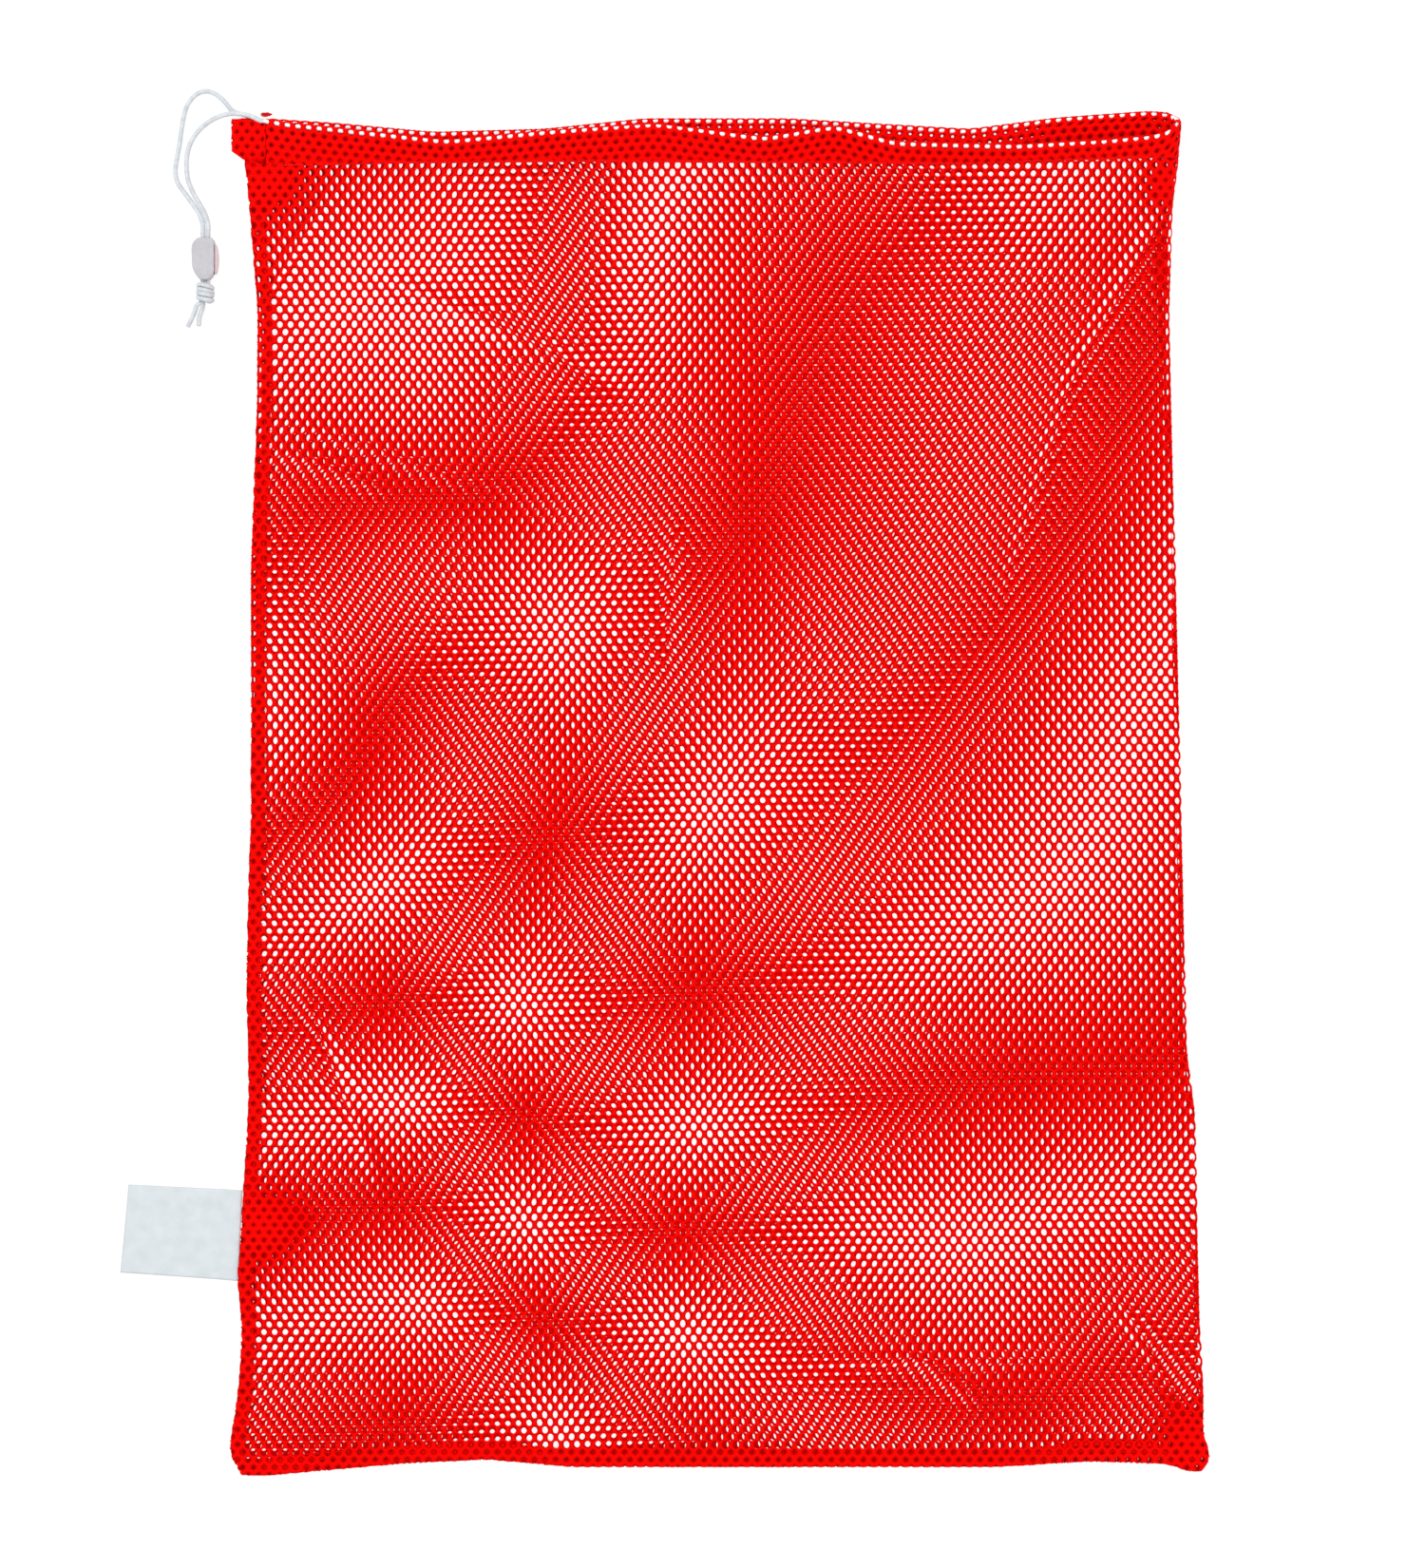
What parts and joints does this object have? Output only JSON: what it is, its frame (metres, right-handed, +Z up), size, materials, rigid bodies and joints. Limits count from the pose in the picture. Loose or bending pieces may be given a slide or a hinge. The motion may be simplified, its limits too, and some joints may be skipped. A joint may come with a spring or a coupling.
{
  "type": "mesh laundry bag",
  "caption": "Flat-lying fabric mesh bag with a hemmed drawcord mouth, a sprung cord lock, a knotted cord end and a sewn-in blank label.",
  "frame": {"origin": "middle of the flat underside the bag lies on", "axes": "+X from the sewn side seam to the folded side, +Y from the bottom seam to the mouth, +Z up, away from what the bag lies on"},
  "size_m": [0.7274, 0.9262, 0.018],
  "materials": {
    "mesh_cloth": "saturated red warp-knitted polyester mesh, soft sheen",
    "sewing_thread": "red polyester overlock and lockstitch thread",
    "elastic_cord": "white braided round elastic cord, matt",
    "lock_plastic": "moulded grey-white plastic, satin",
    "button_plastic": "moulded plastic, satin, slightly pink-white",
    "spring_steel": "bright drawn wire",
    "label_cloth": "white non-woven label cloth, matt, blank"
  },
  "bodies": {
    "bag": {"mesh_body": "mesh_cloth", "hem_casing": "mesh_cloth", "corner_tab": "mesh_cloth", "side_seam_allowance": "mesh_cloth", "side_overlock_thread": "sewing_thread", "bottom_seam_allowance": "mesh_cloth", "bottom_overlock_thread": "sewing_thread", "front_hem_stitch": "sewing_thread", "back_hem_stitch": "sewing_thread", "drawcord_in_hem": "elastic_cord", "drawcord_front_strand": "elastic_cord", "drawcord_back_strand": "elastic_cord", "cord_knot": "elastic_cord", "cord_tail_front": "elastic_cord", "cord_tail_back": "elastic_cord"},
    "lock": {"lock_body": "lock_plastic", "lock_spring": "spring_steel"},
    "button": {"lock_button": "button_plastic"},
    "label": {"id_label": "label_cloth"}
  },
  "joints": [
    {"name": "lock_slide", "type": "slide", "parent": "bag", "child": "lock", "axis": [0, 1, 0], "range_m": [0, 0.008]},
    {"name": "button_press", "type": "slide", "parent": "lock", "child": "button", "axis": [-1, 0, 0], "range_m": [0, 0.0016], "stiffness_N_per_m": 500, "springref_m": -0.0012, "deforming": ["lock_spring"]},
    {"name": "label_flap", "type": "hinge", "parent": "bag", "child": "label", "pos_m": [-0.31765, -0.2953, 0.00225], "axis": [0.0642, 0.9979, 0], "range_deg": [0, 100]}
  ]
}
